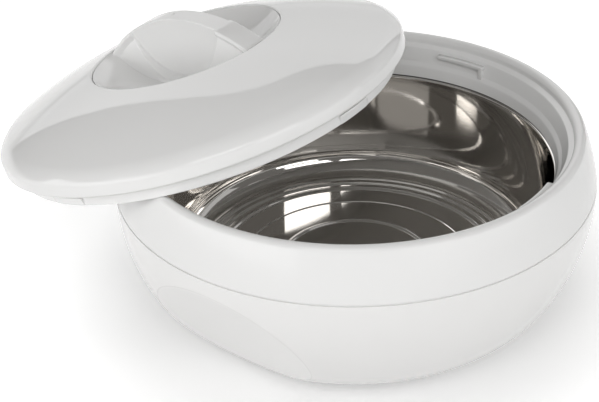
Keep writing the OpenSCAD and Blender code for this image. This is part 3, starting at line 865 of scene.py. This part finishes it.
piece("bowl_outer_shell", shell_surface(), "bowl", "outer_shell", WHITE_SHELL)
piece("bowl_collar", collar_surface(), "bowl", "collar", WHITE_COLLAR)
piece("steel_bowl", steel_surface(), "bowl", "inner_bowl", STEEL)
piece("lid_dome_skin", dome_surface(), "lid", "lid_dome", WHITE_LID)
piece("lid_grip_bar", grip_surface(), "lid", "lid_grip", WHITE_GRIP)
piece("lid_liner_skirt", liner_surface(), "lid", "lid_liner", WHITE_LINER_LIGHTENED)

# Nodes kept as they are, with a finish
kept = {"bowl_foam": FOAM, "lid_foam": FOAM, "bowl_seal": DARK_SEAL, "lid_seal": PALE_SEAL,
        "fill_plug": PLUG}
for node, material in kept.items():
    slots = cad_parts[node].data.materials
    slots.clear()
    slots.append(material)

# Studio, in metres: pale floor, bright paper behind, white screens round it, soft lamps, dim room
FLOOR = 12.0
FLOOR_WHITE = (0.88, 0.88, 0.88, 1)
# Added white is less near the bowl than far out: a painted shadow round the bowl, on top of the
# rendered one.
FLOOR_NEAR_R = 0.12
FLOOR_FAR_R = 0.21
FLOOR_NEAR = 0.2
FLOOR_FAR = 0.52
# Paper: its left edge and its sloping top are what the dome mirrors; brighter from low to high
PAPER = [(-0.735, 0.0), (-0.735, 0.25), (-0.725, 0.42), (-0.664, 0.663), (-0.584, 0.857),
         (-0.464, 1.01), (-0.36, 1.06), (-0.246, 1.06), (-0.151, 0.997), (-0.066, 0.905),
         (0.01, 0.836), (0.08, 0.79), (0.16, 0.77), (0.3, 0.76), (0.45, 0.76), (0.45, 0.0)]
PAPER_Y = 1.5
PAPER_SCALE = 1.075 * PAPER_Y
PAPER_X = -0.05
PAPER_Z = 0.1
PAPER_GLOW = (1.0, 1.65)
PAPER_GLOW_Z = (0.3, 1.0)
# Screens: azimuths in degrees, lower and upper edge, strength
SCREEN_R = 2.0
SCREEN_STEPS = 12
SCREENS = {
    "screen_left": (-190, -115, 0.03, 0.75, 2.6),
    "screen_front": (-115, -65, 0.03, 0.75, 1.25),
    "screen_right": (-65, 5, 0.03, 0.75, 1.75),
    "wall_right": (0, 62, 0.4, 1.7, 0.55),
}
# Lamp overhead: place, width and depth, watts
OVERHEAD = (0.1, 0.1, 1.6)
OVERHEAD_SIZE = (1.8, 1.6)
OVERHEAD_POWER = 2.6
# Lamps round the bowl: azimuth and elevation in degrees, distance, width, height, watts
LAMPS = {
    "front_high": (-98, 46, 2.0, 1.0, 0.8, 7.3),
    "window_low": (-51.5, 25.0, 1.8, 0.82, 0.23, 1.8),
    "window_high": (-56, 38.5, 1.8, 0.82, 0.38, 2.4),
    "window_left": (-152, 27, 1.8, 0.6, 0.5, 1.2),
}
BOWL_MIDDLE = (0, 0, 0.07)
ROOM_WHITE = (1.0, 0.97, 0.93, 1)
ROOM_STRENGTH = 0.16


def stage_mesh(name, points, faces, material):
    """Flat stage piece from corner points in metres."""
    mesh = bpy.data.meshes.new(name)
    mesh.from_pydata([list(map(float, p)) for p in points], [], faces)
    mesh.materials.append(material)
    obj = bpy.data.objects.new(name, mesh)
    bpy.context.scene.collection.objects.link(obj)
    return obj


def set_range(ramp, places, strengths):
    """Map Range node that goes from the first to the second strength between the two places."""
    names = ("From Min", "From Max", "To Min", "To Max")
    for socket, x in zip(names, (*places, *strengths)):
        ramp.inputs[socket].default_value = x


def glow(name, strengths, heights=(0.0, 1.0)):
    """Emitting material for a stage piece: the first strength up to the first height, the second
    from the second height on."""
    m = bpy.data.materials.new(name)
    m.use_nodes = True
    t = m.node_tree
    t.nodes.clear()
    sep = t.nodes.new("ShaderNodeSeparateXYZ")
    t.links.new(t.nodes.new("ShaderNodeTexCoord").outputs["Object"], sep.inputs[0])
    ramp = t.nodes.new("ShaderNodeMapRange")
    set_range(ramp, heights, strengths)
    t.links.new(sep.outputs["Z"], ramp.inputs["Value"])
    e = t.nodes.new("ShaderNodeEmission")
    t.links.new(ramp.outputs[0], e.inputs["Strength"])
    o = t.nodes.new("ShaderNodeOutputMaterial")
    t.links.new(e.outputs[0], o.inputs["Surface"])
    return m


def floor_finish():
    """Pale floor: diffuse white, with some white added for camera, glossy and transmission rays so
    that it reads as white paper: little beside the bowl and more further out, so that the floor
    beside the bowl is darker. This paints a soft shadow round the bowl on top of its rendered
    shadow."""
    m = bpy.data.materials.new("pale_floor")
    m.use_nodes = True
    t = m.node_tree
    t.nodes.clear()
    d = t.nodes.new("ShaderNodeBsdfDiffuse")
    d.inputs["Color"].default_value = FLOOR_WHITE
    lp = t.nodes.new("ShaderNodeLightPath")
    glossy = lp.outputs["Is Glossy Ray"]
    mirrored = math_node(t, "MAXIMUM", glossy, lp.outputs["Is Transmission Ray"])
    seen = math_node(t, "MAXIMUM", lp.outputs["Is Camera Ray"], mirrored)
    away = t.nodes.new("ShaderNodeVectorMath")
    away.operation = "LENGTH"
    t.links.new(t.nodes.new("ShaderNodeTexCoord").outputs["Object"], away.inputs[0])
    # Painted shadow: less added white within the near radius.
    ramp = t.nodes.new("ShaderNodeMapRange")
    ramp.interpolation_type = "SMOOTHSTEP"
    set_range(ramp, (FLOOR_NEAR_R, FLOOR_FAR_R), (FLOOR_NEAR, FLOOR_FAR))
    t.links.new(away.outputs["Value"], ramp.inputs["Value"])
    e = t.nodes.new("ShaderNodeEmission")
    t.links.new(math_node(t, "MULTIPLY", seen, ramp.outputs[0]), e.inputs["Strength"])
    add = t.nodes.new("ShaderNodeAddShader")
    t.links.new(d.outputs[0], add.inputs[0])
    t.links.new(e.outputs[0], add.inputs[1])
    o = t.nodes.new("ShaderNodeOutputMaterial")
    t.links.new(add.outputs[0], o.inputs["Surface"])
    return m


corners = [(-FLOOR, -FLOOR, 0), (FLOOR, -FLOOR, 0), (FLOOR, FLOOR, 0), (-FLOOR, FLOOR, 0)]
stage_mesh("floor", corners, [(0, 1, 2, 3)], floor_finish())
paper_points = [(x * PAPER_SCALE + PAPER_X, PAPER_Y, z * PAPER_SCALE + PAPER_Z) for x, z in PAPER]
bright = glow("bright_paper", PAPER_GLOW, PAPER_GLOW_Z)
paper = stage_mesh("paper", paper_points, [tuple(range(len(PAPER)))], bright)
paper.visible_camera = False
paper.visible_shadow = False


def screen(name, a0, a1, low, high, strength):
    """Upright white screen: an arc round the object from a0 to a1 degrees, from low to high."""
    a = np.radians(np.linspace(a0, a1, SCREEN_STEPS + 1))
    ring = np.stack([SCREEN_R * np.cos(a), SCREEN_R * np.sin(a)], 1)
    points = [(x, y, z) for z in (low, high) for x, y in ring]
    above = SCREEN_STEPS + 1
    faces = [(i, i + 1, i + 1 + above, i + above) for i in range(SCREEN_STEPS)]
    obj = stage_mesh(name, points, faces, glow(name + "_white", (strength, strength)))
    obj.visible_camera = False


for name, values in SCREENS.items():
    screen(name, *values)


def lamp(name, place, aim, size, power):
    """Rectangular area lamp, not seen by the camera itself."""
    data = bpy.data.lights.new(name, "AREA")
    data.shape = "RECTANGLE"
    data.size, data.size_y = size
    data.energy = power
    obj = bpy.data.objects.new(name, data)
    bpy.context.scene.collection.objects.link(obj)
    obj.location = place
    obj.rotation_euler = (Vector(aim) - Vector(place)).to_track_quat("-Z", "Y").to_euler()
    obj.visible_camera = False


def round_lamp(name, az, el, r, width, height, power):
    """Lamp at azimuth az and elevation el degrees, r from the bowl's middle, aimed at it."""
    a = math.radians(az)
    e = math.radians(el)
    flat = r * math.cos(e)
    place = (flat * math.cos(a), flat * math.sin(a), r * math.sin(e) + BOWL_MIDDLE[2])
    lamp(name, place, BOWL_MIDDLE, (width, height), power)


lamp("overhead", OVERHEAD, (0, 0, 0), OVERHEAD_SIZE, OVERHEAD_POWER)
for name, values in LAMPS.items():
    round_lamp(name, *values)

world = bpy.data.worlds.new("studio")
bpy.context.scene.world = world
world.use_nodes = True
bg = world.node_tree.nodes["Background"]
bg.inputs["Color"].default_value = ROOM_WHITE
bg.inputs["Strength"].default_value = ROOM_STRENGTH

# Camera at the photograph's angle, rolled a little; focal length and width in pixels, sensor in mm
PLACE = Vector((0, -0.8422, 0.5717))
AIM = Vector((-0.034195, 0, 0.064523))
ROLL = -0.032
FOCAL = 1600.0
PHOTO_W = 599.0
SENSOR = 36.0
ahead = (AIM - PLACE).normalized()
right = ahead.cross(Vector((0, 0, 1))).normalized()
up = right.cross(ahead)
side = math.cos(ROLL) * right + math.sin(ROLL) * up
head = -math.sin(ROLL) * right + math.cos(ROLL) * up
cam = bpy.data.cameras.new("camera")
cam.lens = FOCAL / PHOTO_W * SENSOR
cam.sensor_width = SENSOR
cam.sensor_fit = "HORIZONTAL"
eye = bpy.data.objects.new("camera", cam)
bpy.context.scene.collection.objects.link(eye)
axes = Matrix((side, head, -ahead)).transposed()
eye.matrix_world = Matrix.Translation(PLACE) @ axes.to_4x4()
bpy.context.scene.camera = eye
bpy.context.scene.view_settings.view_transform = "Standard"
